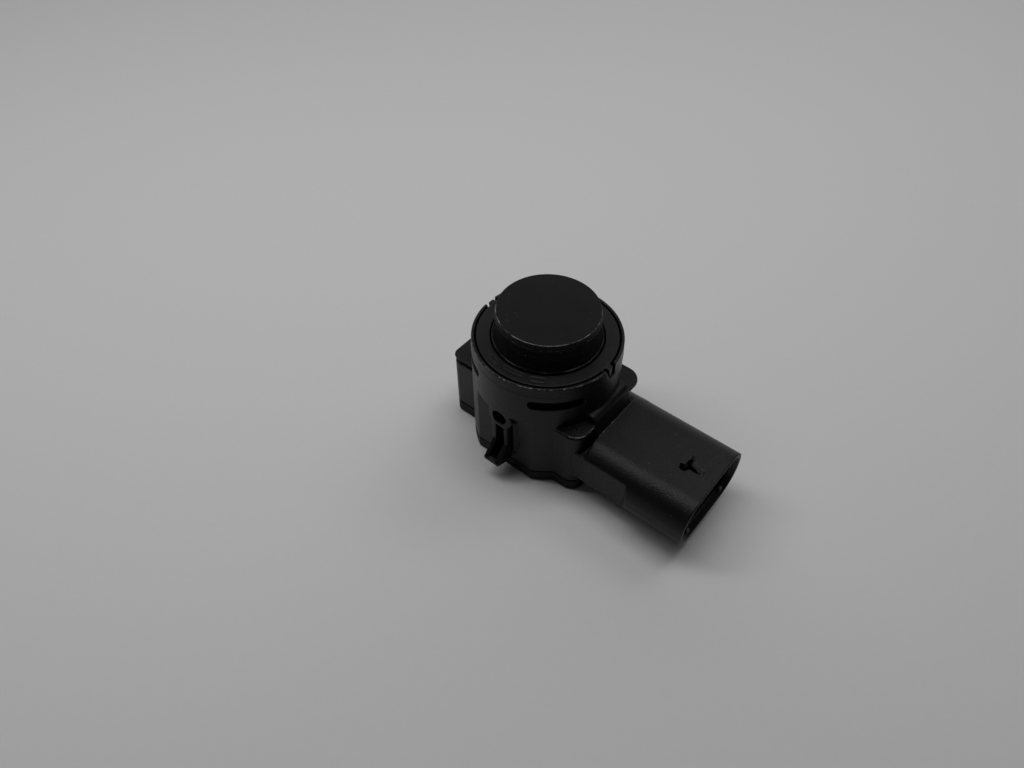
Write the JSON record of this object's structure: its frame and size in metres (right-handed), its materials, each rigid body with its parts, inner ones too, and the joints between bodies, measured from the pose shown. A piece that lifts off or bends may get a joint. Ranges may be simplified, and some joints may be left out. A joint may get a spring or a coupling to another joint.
{
  "type": "parking sensor",
  "caption": "Ultrasonic parking sensor with a round sensing head in a soft collar, a barrel housing with snap tongues and an oval connector shroud at right angles to the head.",
  "frame": {"origin": "on the barrel axis, at the underside of the rear cover", "axes": "+Z along the barrel towards the sensing face, +X along the connector towards its mouth, Y across the snap tongues"},
  "size_m": [0.044, 0.0268, 0.0259],
  "materials": {
    "housing_black": "fine matte moulded texture",
    "cover_black": "satin moulded",
    "ring_black": "smooth satin",
    "collar_black": "dusty matte",
    "head_paint": "satin black paint",
    "piezo_grey": "fired, silvered",
    "foam_grey": "open matte",
    "plug_grey": "matte",
    "lead_copper": "drawn wire",
    "board_green": "solder mask",
    "chip_black": "matte",
    "leg_tin": "tinned",
    "ferrite_grey": "sintered",
    "winding_copper": "enamelled wire",
    "can_silver": "satin",
    "ceramic_tan": "matte",
    "resistor_black": "glossy",
    "diode_black": "matte",
    "terminal_tin": "tinned",
    "solder_tin": "bright"
  },
  "bodies": {
    "root": {"housing": "housing_black", "rear_cover": "cover_black", "retaining_ring": "ring_black", "decoupling_ring": "collar_black", "membrane_pot": "head_paint", "piezo_disc": "piezo_grey", "damping_foam": "foam_grey", "pot_plug": "plug_grey", "signal_lead": "lead_copper", "ground_lead": "lead_copper", "circuit_board": "board_green", "control_chip": "chip_black", "chip_leads": "leg_tin", "transformer_core": "ferrite_grey", "transformer_winding": "winding_copper", "buffer_capacitor": "can_silver", "ceramic_capacitors": "ceramic_tan", "chip_resistors": "resistor_black", "protection_diode": "diode_black", "terminal_supply": "terminal_tin", "terminal_signal": "terminal_tin", "terminal_ground": "terminal_tin", "solder_joints": "solder_tin"}
  },
  "joints": []
}
